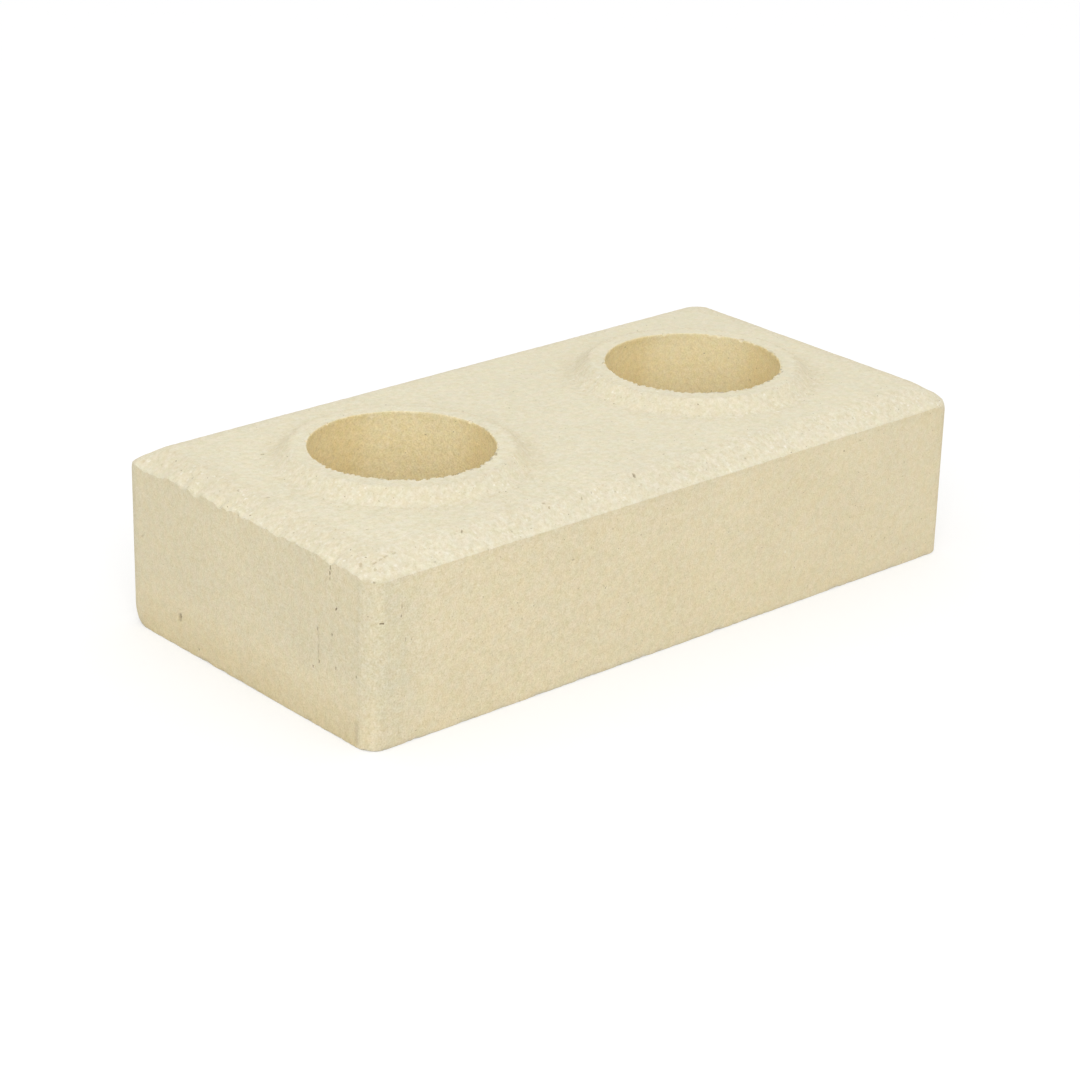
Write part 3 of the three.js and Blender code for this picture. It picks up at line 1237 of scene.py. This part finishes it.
class NodeGraph:
    """Short words for the shader nodes that the finishes are made of."""

    def __init__(self, tree: bpy.types.NodeTree, shader: str = "Principled BSDF") -> None:
        """Takes over the nodes of a new material or world.

        Args:
            tree: The node tree.
            shader: Name of its shader.
        """
        self.tree = tree
        self.shader = tree.nodes[shader]

    def feed(self, node: bpy.types.Node, inputs: Inputs) -> None:
        """Feeds a node's inputs with sockets, numbers or colours.

        Args:
            node: The node.
            inputs: What each input takes, by its name or number.
        """
        for key, value in inputs.items():
            socket = node.inputs[key]
            if isinstance(value, bpy.types.NodeSocket):
                self.tree.links.new(value, socket)
            elif socket.type == "RGBA":
                socket.default_value = (*value, 1.0)
            else:
                socket.default_value = value

    def node(self, kind: str, inputs: Inputs, **settings: object) -> bpy.types.Node:
        """Adds a node.

        Args:
            kind: The node's type.
            inputs: What its inputs take.
            settings: Its properties.

        Returns:
            The node.
        """
        node = self.tree.nodes.new(kind)
        for name, value in settings.items():
            setattr(node, name, value)
        self.feed(node, inputs)
        return node

    def object_place(self) -> bpy.types.NodeSocket:
        """Gives the place on the object."""
        return self.node("ShaderNodeTexCoord", {}).outputs["Object"]

    def normal(self, axis: str) -> bpy.types.NodeSocket:
        """Gives how far the surface faces along an axis of the object."""
        return self.part(self.node("ShaderNodeTexCoord", {}).outputs["Normal"], axis)

    def part(self, vector: object, axis: str) -> bpy.types.NodeSocket:
        """Gives the part of a vector along an axis: X, Y or Z."""
        return self.node("ShaderNodeSeparateXYZ", {0: vector}).outputs[axis]

    def attribute(self, name: str) -> bpy.types.NodeSocket:
        """Reads a number that the mesh holds at its points."""
        return self.node("ShaderNodeAttribute", {}, attribute_name=name).outputs["Fac"]

    def math(self, operation: str, *values: object) -> bpy.types.NodeSocket:
        """Works out a number from others."""
        return self.node("ShaderNodeMath", dict(enumerate(values)), operation=operation).outputs[0]

    def vector(self, operation: str, *values: object) -> bpy.types.NodeSocket:
        """Works out a vector or a colour from others."""
        return self.node("ShaderNodeVectorMath", dict(enumerate(values)), operation=operation).outputs[0]

    def add(self, first: object, second: object) -> bpy.types.NodeSocket:
        """Adds two numbers."""
        return self.math("ADD", first, second)

    def times(self, first: object, second: object) -> bpy.types.NodeSocket:
        """Multiplies two numbers."""
        return self.math("MULTIPLY", first, second)

    def absolute(self, value: object) -> bpy.types.NodeSocket:
        """Takes the sign off a number."""
        return self.math("ABSOLUTE", value)

    def clamp(self, value: object) -> bpy.types.NodeSocket:
        """Keeps a number from 0 to 1."""
        return self.math("MINIMUM", self.math("MAXIMUM", value, 0.0), 1.0)

    def span(self, value: object, low: float, high: float, first: float,
             last: float) -> bpy.types.NodeSocket:
        """Maps a stretch of values smoothly on to another, and holds its ends.

        Args:
            value: The number to map.
            low: Start of the stretch.
            high: End of the stretch.
            first: What the start becomes.
            last: What the end becomes.

        Returns:
            The mapped number.
        """
        inputs = {"Value": value, "From Min": low, "From Max": high, "To Min": first, "To Max": last}
        return self.node("ShaderNodeMapRange", inputs, interpolation_type="SMOOTHSTEP").outputs["Result"]

    def blend(self, share: object, first: object, second: object) -> bpy.types.NodeSocket:
        """Blends two numbers.

        Args:
            share: How much of the second.
            first: The first number.
            second: The second number.

        Returns:
            The blend.
        """
        return self.node("ShaderNodeMix", {0: share, 2: first, 3: second}, data_type="FLOAT").outputs[0]

    def mix(self, share: object, first: object, second: object) -> bpy.types.NodeSocket:
        """Mixes two colours.

        Args:
            share: How much of the second.
            first: The first colour.
            second: The second colour.

        Returns:
            The mixed colour.
        """
        return self.node("ShaderNodeMix", {0: share, 6: first, 7: second}, data_type="RGBA").outputs[2]

    def filter(self, colour: object, tint: object) -> bpy.types.NodeSocket:
        """Multiplies a colour by another, or by a number."""
        return self.vector("MULTIPLY", colour, tint)

    def shift(self, place: object, step: float) -> bpy.types.NodeSocket:
        """Moves a pattern, so that two alike don't lie on each other."""
        return self.vector("ADD", place, (step, step * 0.3, -step * 0.6))

    def stretch(self, place: object, factors: Point3) -> bpy.types.NodeSocket:
        """Stretches a pattern along the axes with small factors."""
        return self.vector("MULTIPLY", place, factors)

    def torn(self, place: object, reach: float) -> bpy.types.NodeSocket:
        """Frays a pattern's outlines by moving each place a little way at random.

        Args:
            place: The place on the object.
            reach: How far a place may move.

        Returns:
            The moved place.
        """
        jitter = self.node("ShaderNodeTexNoise", {"Vector": place, "Scale": 0.7 / reach, "Detail": 1.0})
        return self.vector("MULTIPLY_ADD", jitter.outputs["Color"], (2.0 * reach,) * 3, place)

    def noise(self, place: object, size: float, detail: float, roughness: float) -> bpy.types.NodeSocket:
        """Adds smooth noise.

        Args:
            place: Where to read it.
            size: Length of a wave.
            detail: Layers of finer noise.
            roughness: Share of each finer layer.

        Returns:
            Noise round one half.
        """
        inputs = {"Vector": place, "Scale": 1.0 / size, "Detail": detail, "Roughness": roughness}
        return self.node("ShaderNodeTexNoise", inputs).outputs["Fac"]

    def grains(self, place: object, kind: Grains) -> bpy.types.NodeSocket:
        """Scatters round grains, one for some of the cells of a loose grid.

        Args:
            place: Where to read them.
            kind: The kind of grain.

        Returns:
            1 on a grain and 0 off it.
        """
        inputs = {"Vector": self.shift(place, kind.step), "Scale": 1.0 / kind.spacing}
        cells = self.node("ShaderNodeTexVoronoi", inputs, feature="F1")
        chance = self.node("ShaderNodeSeparateColor", {0: cells.outputs["Color"]})
        chosen = self.span(chance.outputs[0], 1.0 - kind.share, 1.0 - kind.share + 0.02, 0.0, 1.0)
        size = self.span(chance.outputs[1], 0.0, 1.0, kind.radius * 0.6, kind.radius * 1.3)
        inside = self.math("SUBTRACT", size, cells.outputs["Distance"])
        return self.times(chosen, self.span(inside, 0.0, kind.radius * 0.5, 0.0, 1.0))

    def bump(self, height: object, depth: float) -> bpy.types.NodeSocket:
        """Turns a height into a bumped normal.

        Args:
            height: The height, round one half.
            depth: What a height of 1 stands for.

        Returns:
            The bumped normal.
        """
        return self.node("ShaderNodeBump", {"Distance": depth, "Height": height}).outputs["Normal"]


class ClaySpot:
    """What the finish reads at a spot of the skin.

    `open_clay` tells how open the clay is, so that its grains show, and `upright` is 1 on the
    upright faces and 0 on the others.
    """

    def __init__(self, graph: NodeGraph, sand_size: float) -> None:
        """Adds the nodes that read it.

        Args:
            graph: The material's nodes.
            sand_size: How coarse the sand in the clay is.
        """
        self.place = graph.object_place()
        self.bore = graph.attribute("bore")
        self.warmth_and_shade = graph.attribute("warmth_and_shade")
        loose = graph.clamp(graph.add(graph.attribute("coarse"), graph.attribute("worn")))
        self.open_clay = graph.times(loose, graph.math("SUBTRACT", 1.0, self.bore))
        self.upright = graph.span(graph.absolute(graph.normal("Z")), 0.15, 0.40, 1.0, 0.0)
        self.sand = graph.noise(self.place, sand_size, 3.0, 0.70)
        self.drag = graph.times(graph.attribute("drag"), graph.span(self.sand, 0.35, 0.6, 0.3, 1.0))


@dataclass(frozen=True)
class FiredClay:
    """The brick's finish: pale pressed faces, warmer drawn walls, sand, grog and iron specks,
    with shade and highlights painted into its colour.
    """

    pressed: Colour = (0.777, 0.718, 0.538)
    drawn: Colour = (0.792, 0.696, 0.475)
    # The bores' lining is paler deeper down than at its throat, as painted light.
    throat: Colour = (0.858, 0.764, 0.491)
    lining: Colour = (0.899, 0.797, 0.516)
    # Painted shade on the bores' sides.
    bore_side_shade: Colour = (0.957, 0.907, 0.806)
    # Warm tone, also painted shade at the walls' foot and on the rings' flanks turned from the lamp.
    ochre_and_shade: Colour = (0.700, 0.580, 0.330)
    dusty: Colour = (0.712, 0.653, 0.472)
    # Open clay a touch darker: painted shade of its rough surface.
    open_clay_shade: Colour = (0.978, 0.969, 0.970)
    shadow: Colour = (0.575, 0.510, 0.270)
    gleam: Colour = (1.425, 1.490, 1.730)
    grog: Colour = (0.920, 0.885, 0.760)
    rust: Colour = (0.640, 0.500, 0.330)
    # Dark colour of specks, also painted shade in pits, pores and rim gaps.
    soot_and_shade: Colour = (0.230, 0.175, 0.100)
    specular: float = 0.25
    dullness: float = 0.05
    sand_size: float = 1.5 * MM
    grain_size: float = 0.5 * MM
    streak_width: float = 0.9 * MM
    patch_size: float = 22.0 * MM
    cluster_size: float = 9.0 * MM
    bump_depth: float = 0.18 * MM
    fray: float = 0.6 * MM
    crumbs: Grains = Grains(0.0, 1.05 * MM, 0.42, 0.40)
    rusty: Grains = Grains(7.3, 1.5 * MM, 0.30, 0.12)
    shaded_pores: Grains = Grains(17.1, 1.7 * MM, 0.17, 0.30)
    flecks: Grains = Grains(23.7, 2.1 * MM, 0.11, 0.36)
    pale_spots: Grains = Grains(31.3, 6.0 * MM, 0.07, 0.22)
    dark_spots: Grains = Grains(11.9, 5.0 * MM, 0.07, 0.25)

    def material(self) -> bpy.types.Material:
        """Builds the finish.

        Returns:
            The material.
        """
        material = bpy.data.materials.new("fired_clay")
        material.use_nodes = True
        graph = NodeGraph(material.node_tree)
        spot = ClaySpot(graph, self.sand_size)
        grain = graph.noise(graph.shift(spot.place, 2.3), self.grain_size, 1.0, 0.5)
        grit = graph.times(spot.sand, graph.blend(spot.upright, 0.80, 0.54))
        grit = graph.add(grit, graph.times(grain, graph.blend(spot.upright, 0.30, 0.56)))
        streaks = graph.noise(graph.stretch(spot.place, (1.0, 1.0, 0.07)), self.streak_width, 2.0, 0.6)

        colour = self._mottle(graph, spot, self._ground(graph, spot))
        colour = self._bed_grains(graph, spot, colour)
        # Open clay a touch darker: painted shade of its rough surface.
        colour = graph.filter(colour, graph.mix(spot.open_clay, WHITE, self.open_clay_shade))
        colour = graph.filter(colour, self._hollows(graph, spot, grit))
        colour = self._mark(graph, spot, streaks, colour)

        relief = graph.add(grit, graph.times(spot.drag, graph.times(streaks, 0.5)))
        relief = graph.times(relief, graph.blend(spot.open_clay, 0.9, 1.15))
        graph.feed(graph.shader, {
            "Base Color": colour,
            "Roughness": graph.span(spot.sand, 0.3, 0.7, 0.9, 1.0),
            "Normal": graph.bump(relief, self.bump_depth),
            "Specular IOR Level": self.specular,
            "Diffuse Roughness": self.dullness,
        })
        return material

    def _ground(self, graph: NodeGraph, spot: ClaySpot) -> bpy.types.NodeSocket:
        """Colours the pressed faces, the walls that slid along the mould, and the bores, with painted
        shade and a bore lining that is paler deeper down as painted light.

        Args:
            graph: The material's nodes.
            spot: What the finish reads at a spot.

        Returns:
            The colour.
        """
        colour = graph.mix(spot.upright, self.pressed, self.drawn)
        # Warm tone, with painted shade near the walls' foot and on the rings' flanks turned from the lamp.
        colour = graph.mix(graph.clamp(graph.times(spot.warmth_and_shade, 0.6)), colour, self.ochre_and_shade)
        colour = graph.mix(graph.clamp(graph.times(spot.warmth_and_shade, -1.0)), colour, self.dusty)
        # Painted light: the lining is paler deeper down the bore.
        depth = graph.span(graph.part(spot.place, "Z"), 50.0 * MM, 58.5 * MM, 1.0, 0.0)
        inside = graph.mix(depth, self.throat, self.lining)
        straw = graph.noise(graph.shift(spot.place, 8.9), 1.2 * MM, 2.0, 0.7)
        straw = graph.mix(graph.span(straw, 0.3, 0.7, 0.0, 1.0), (1.0, 1.0, 0.96), (1.0, 1.0, 1.04))
        inside = graph.filter(inside, straw)
        # Painted shade on the bores' sides.
        inside = graph.filter(inside, graph.mix(graph.clamp(spot.warmth_and_shade), WHITE, self.bore_side_shade))
        return graph.mix(spot.bore, colour, inside)

    def _mottle(self, graph: NodeGraph, spot: ClaySpot,
                colour: bpy.types.NodeSocket) -> bpy.types.NodeSocket:
        """Lets the clay's tint wander between pink and green, and between straw and grey.

        Args:
            graph: The material's nodes.
            spot: What the finish reads at a spot.
            colour: Colour of the clay.

        Returns:
            The colour.
        """
        pink = graph.noise(graph.shift(spot.place, 3.1), 2.2 * MM, 1.0, 0.5)
        straw = graph.noise(graph.shift(spot.place, 5.7), 3.2 * MM, 2.0, 0.7)
        tint = graph.mix(graph.span(pink, 0.3, 0.7, 0.0, 1.0), (1.014, 0.997, 0.995), (0.986, 1.003, 1.0))
        colour = graph.filter(colour, tint)
        tint = graph.mix(graph.span(straw, 0.3, 0.7, 0.0, 1.0), (1.002, 1.0, 0.972), (0.998, 1.0, 1.028))
        return graph.filter(colour, tint)

    def _bed_grains(self, graph: NodeGraph, spot: ClaySpot,
                    colour: bpy.types.NodeSocket) -> bpy.types.NodeSocket:
        """Beds grains of white grog, and a few of rusty and dark ones, in the clay, and paints shade
        into its pores.

        Args:
            graph: The material's nodes.
            spot: What the finish reads at a spot.
            colour: Colour of the clay.

        Returns:
            The colour.
        """
        torn = graph.torn(spot.place, self.fray)
        clusters = graph.noise(spot.place, self.cluster_size, 2.0, 0.6)
        shown = graph.times(spot.open_clay, graph.span(clusters, 0.42, 0.62, 0.15, 1.0))
        flecked = graph.blend(spot.upright, 0.46, 0.50)
        layers = (
            (self.crumbs, graph.blend(shown, 0.05, 0.52), self.grog),
            (self.rusty, graph.blend(spot.open_clay, 0.12, 0.30), self.rust),
            # Pores: dark dots of painted shade, most among the crumbs.
            (self.shaded_pores, graph.blend(shown, 0.11, 0.42), self.soot_and_shade),
            (self.flecks, graph.blend(spot.open_clay, flecked, 0.80), self.soot_and_shade),
            (self.pale_spots, 0.45, self.grog),
            (self.dark_spots, 0.30, self.soot_and_shade),
        )
        for kind, strength, tone in layers:
            colour = graph.mix(graph.times(graph.grains(torn, kind), strength), colour, tone)
        return colour

    def _hollows(self, graph: NodeGraph, spot: ClaySpot,
                 grit: bpy.types.NodeSocket) -> bpy.types.NodeSocket:
        """Shades the hollows between the grains and lightens their tops.

        Args:
            graph: The material's nodes.
            spot: What the finish reads at a spot.
            grit: How high the grains stand, round one half.

        Returns:
            The tint, less strong towards the right end and the back side.
        """
        end_on = graph.span(graph.absolute(graph.normal("X")), 0.5, 0.9, 0.70, 0.65)
        strength = graph.blend(spot.bore, graph.blend(spot.upright, 0.53, end_on), 0.84)
        strength = graph.blend(spot.open_clay, strength, 0.62)
        along = graph.span(graph.part(spot.place, "X"), -120.0 * MM, 120.0 * MM, 1.14, 0.80)
        along = graph.blend(spot.open_clay, along, 1.04)
        across = graph.span(graph.part(spot.place, "Y"), -60.0 * MM, 60.0 * MM, 1.0, 0.80)
        strength = graph.times(strength, graph.times(along, across))
        level = graph.math("MULTIPLY_ADD", graph.math("SUBTRACT", grit, 0.55), strength, 0.5)
        return graph.mix(level, self.shadow, self.gleam)

    def _mark(self, graph: NodeGraph, spot: ClaySpot, streaks: bpy.types.NodeSocket,
              colour: bpy.types.NodeSocket) -> bpy.types.NodeSocket:
        """Adds broad patches, the mould's streaks, the painted highlight on the lip over the arris with
        the painted shade under it, and the stains with the painted shade of pits, rim gaps and crease.

        Args:
            graph: The material's nodes.
            spot: What the finish reads at a spot.
            streaks: Noise drawn out up and down the walls.
            colour: Colour of the clay.

        Returns:
            The colour.
        """
        patches = graph.noise(spot.place, self.patch_size, 3.0, 0.55)
        scored = graph.blend(spot.drag, 1.0, graph.span(streaks, 0.3, 0.7, 0.955, 1.03))
        colour = graph.filter(colour, graph.times(graph.span(patches, 0.3, 0.7, 0.985, 1.015), scored))
        # Painted highlight on the lip over the arris, painted shade on the strip under it.
        colour = graph.filter(colour, graph.math("MULTIPLY_ADD", graph.attribute("edge_highlight_and_shade"), 0.028, 1.0))
        # Stains, and painted shade in the pits, the rims' gaps and the corner's crease.
        stain_and_shade = graph.times(graph.attribute("stain_and_shade"), graph.span(spot.sand, 0.3, 0.6, 0.6, 1.0))
        return graph.mix(stain_and_shade, colour, self.soot_and_shade)


class ClayBrick:
    """The whole brick: its skin, its damage and its finish.

    Each of the `REFINEMENTS` halves the edges that lie within so many radii of a pit and are
    longer than the length beside it. The `LAYERS` are the numbers that the finish reads.
    """

    REFINEMENTS = ((3.0, 1.1 * MM), (2.2, 0.55 * MM), (1.6, 0.3 * MM), (1.5, 0.17 * MM))
    LAYERS = ("coarse", "worn", "stain_and_shade", "bore", "drag", "warmth_and_shade", "edge_highlight_and_shade")

    def __init__(self, sizes: BrickSizes, finish: FiredClay) -> None:
        """Takes the sizes and the finish.

        Args:
            sizes: Sizes of the brick.
            finish: Its finish.
        """
        self.sizes = sizes
        self.finish = finish
        self.damage = Damage(sizes)

    def refine(self, mesh: bmesh.types.BMesh, pits: list[Pit]) -> None:
        """Divides the faces round pinholes and scratches finely enough to hold them.

        Args:
            mesh: The skin.
            pits: The pinholes and scratches.
        """
        for reach, longest in self.REFINEMENTS:
            held = [pit for pit in pits if pit.radius < longest * 2.0]
            edges = list(mesh.edges)
            mesh.verts.index_update()
            points = np.array([vert.co for vert in mesh.verts])
            ends = np.array([[vert.index for vert in edge.verts] for edge in edges])
            first = points[ends[:, 0]]
            last = points[ends[:, 1]]
            middle = (first + last) / 2.0
            near = np.zeros(len(edges), bool)
            for pit in held:
                near |= pit.distance(middle) < pit.radius * reach + longest * 1.5
            near &= np.linalg.norm(last - first, axis=1) > longest
            chosen = [edges[n] for n in np.flatnonzero(near)]
            bmesh.ops.subdivide_edges(mesh, edges=chosen, cuts=1, use_grid_fill=True)
            crowded = [face for face in mesh.faces if len(face.verts) > 4]
            bmesh.ops.triangulate(mesh, faces=crowded)

    def build(self) -> bpy.types.Object:
        """Builds the brick and dresses it.

        Returns:
            The finished object.
        """
        skin = BrickSkin(self.sizes, Plan(self.sizes)).build()
        pits = self.damage.known_pits() + self.damage.scratches() + self.damage.scattered_pits(count=20)
        self.refine(skin, pits)
        skin.normal_update()
        data = bpy.data.meshes.new("clay_brick")
        skin.to_mesh(data)
        skin.free()
        relief = self._weather(data, pits)
        data.vertices.foreach_set("co", relief.points.ravel())
        for name in self.LAYERS:
            layer = data.attributes.new(name, "FLOAT", "POINT")
            layer.data.foreach_set("value", getattr(relief, name))
        data.polygons.foreach_set("use_smooth", np.ones(len(data.polygons), bool))
        data.update()
        brick = bpy.data.objects.new("clay_brick", data)
        bpy.context.scene.collection.objects.link(brick)
        data.materials.append(self.finish.material())
        return brick

    def _weather(self, data: bpy.types.Mesh, pits: list[Pit]) -> ClayRelief:
        """Wears, chips, crumbles and pits the skin.

        Args:
            data: The skin's mesh.
            pits: The pinholes and scratches.

        Returns:
            The relief, with the moved points.
        """
        points = np.empty(len(data.vertices) * 3)
        normals = np.empty(len(data.vertices) * 3)
        data.vertices.foreach_get("co", points)
        data.vertex_normals.foreach_get("vector", normals)
        relief = ClayRelief(self.sizes, points.reshape(-1, 3), normals.reshape(-1, 3))
        chips = self.damage.edge_chips(count=70, least=0.15 * MM, most=0.6 * MM)
        chips += self.damage.foot_chips(count=40, least=0.1 * MM, most=0.45 * MM)
        chips += self.damage.rim_chips(count=70, least=0.30 * MM, most=0.9 * MM)
        relief.wear()
        relief.hang(self.damage.tongues())
        relief.chip(chips)
        relief.pit(pits)
        relief.crumble()
        relief.settle(*cad_box)
        return relief


@dataclass(frozen=True)
class Studio:
    """A plain white floor under soft light from above and in front."""

    floor_half: float = 6.0
    floor_drop: float = 0.02 * MM
    floor_tone: float = 0.61
    floor_lift: float = 0.42
    sky: float = 0.87
    lamp_power: float = 8.4
    lamp_size: float = 0.9
    lamp_place: Point3 = (-0.943, -1.124, 0.953)

    def build(self) -> None:
        """Lays the floor, and hangs the sky and the lamp."""
        self._floor()
        self._sky()
        self._lamp()

    def _floor(self) -> None:
        """Lays the floor, which shows white and keeps a soft shadow."""
        half = self.floor_half
        level = -self.floor_drop
        data = bpy.data.meshes.new("studio_floor")
        corners = [(-half, -half, level), (half, -half, level), (half, half, level), (-half, half, level)]
        data.from_pydata(corners, [], [(0, 1, 2, 3)])
        floor = bpy.data.objects.new("studio_floor", data)
        bpy.context.scene.collection.objects.link(floor)
        material = bpy.data.materials.new("studio_floor")
        material.use_nodes = True
        graph = NodeGraph(material.node_tree)
        graph.feed(graph.shader, {
            "Base Color": (self.floor_tone,) * 3,
            "Roughness": 1.0,
            "Emission Color": WHITE,
            "Emission Strength": graph.times(self._seen(graph), self.floor_lift),
        })
        data.materials.append(material)

    @staticmethod
    def _seen(graph: NodeGraph) -> bpy.types.NodeSocket:
        """Tells the rays that show the background from those that light the brick.

        Args:
            graph: The nodes to add to.

        Returns:
            1 for the rays that show it, and 0 for the others.
        """
        rays = graph.node("ShaderNodeLightPath", {}).outputs
        seen = graph.add(graph.add(rays["Is Camera Ray"], rays["Is Glossy Ray"]), rays["Is Transmission Ray"])
        return graph.clamp(seen)

    def _sky(self) -> None:
        """Hangs an even sky, which shows white."""
        world = bpy.data.worlds.new("studio_sky")
        world.use_nodes = True
        bpy.context.scene.world = world
        graph = NodeGraph(world.node_tree, "Background")
        strength = graph.blend(self._seen(graph), self.sky, 1.0)
        graph.feed(graph.shader, {"Color": WHITE, "Strength": strength})

    def _lamp(self) -> None:
        """Hangs a soft square lamp that faces the brick."""
        data = bpy.data.lights.new("soft_lamp", "AREA")
        data.shape = "SQUARE"
        data.size = self.lamp_size
        data.energy = self.lamp_power
        lamp = bpy.data.objects.new("soft_lamp", data)
        lamp.location = self.lamp_place
        lamp.rotation_euler = (-Vector(self.lamp_place)).to_track_quat("-Z", "Y").to_euler()
        bpy.context.scene.collection.objects.link(lamp)


@dataclass(frozen=True)
class ViewCamera:
    """The camera, a little above the brick and off its front left corner."""

    place: Point3 = (-0.569184, -0.632050, 0.371788)
    target: Point3 = (-0.023309, -0.021589, 0.027554)
    roll: float = math.radians(1.405)
    sensor: float = 36.0
    lens: float = 100.93
    near_clip: float = 10.0 * MM

    def build(self) -> None:
        """Sets up the camera and looks through it."""
        data = bpy.data.cameras.new("view_camera")
        data.sensor_fit = "HORIZONTAL"
        data.sensor_width = self.sensor
        data.lens = self.lens
        data.clip_start = self.near_clip
        camera = bpy.data.objects.new("view_camera", data)
        aim = (Vector(self.target) - Vector(self.place)).to_track_quat("-Z", "Y").to_matrix()
        turn = aim @ Matrix.Rotation(self.roll, 3, "Z")
        camera.matrix_world = Matrix.Translation(self.place) @ turn.to_4x4()
        bpy.context.scene.collection.objects.link(camera)
        bpy.context.scene.camera = camera


def main() -> None:
    """Builds the brick, the studio and the camera."""
    logging.basicConfig(level=logging.INFO, format="%(name)s: %(message)s")
    bpy.context.scene.view_settings.view_transform = "Standard"
    sizes = BrickSizes.of_box(*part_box(CAD_NODE))
    brick = ClayBrick(sizes, FiredClay()).build()
    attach(brick, CAD_BODY)
    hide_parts(CAD_NODE)
    triangles = sum(len(face.vertices) - 2 for face in brick.data.polygons)
    LOG.info("%s: %d points, %d triangles", brick.name, len(brick.data.vertices), triangles)
    Studio().build()
    ViewCamera().build()


if __name__ == "__main__":
    main()
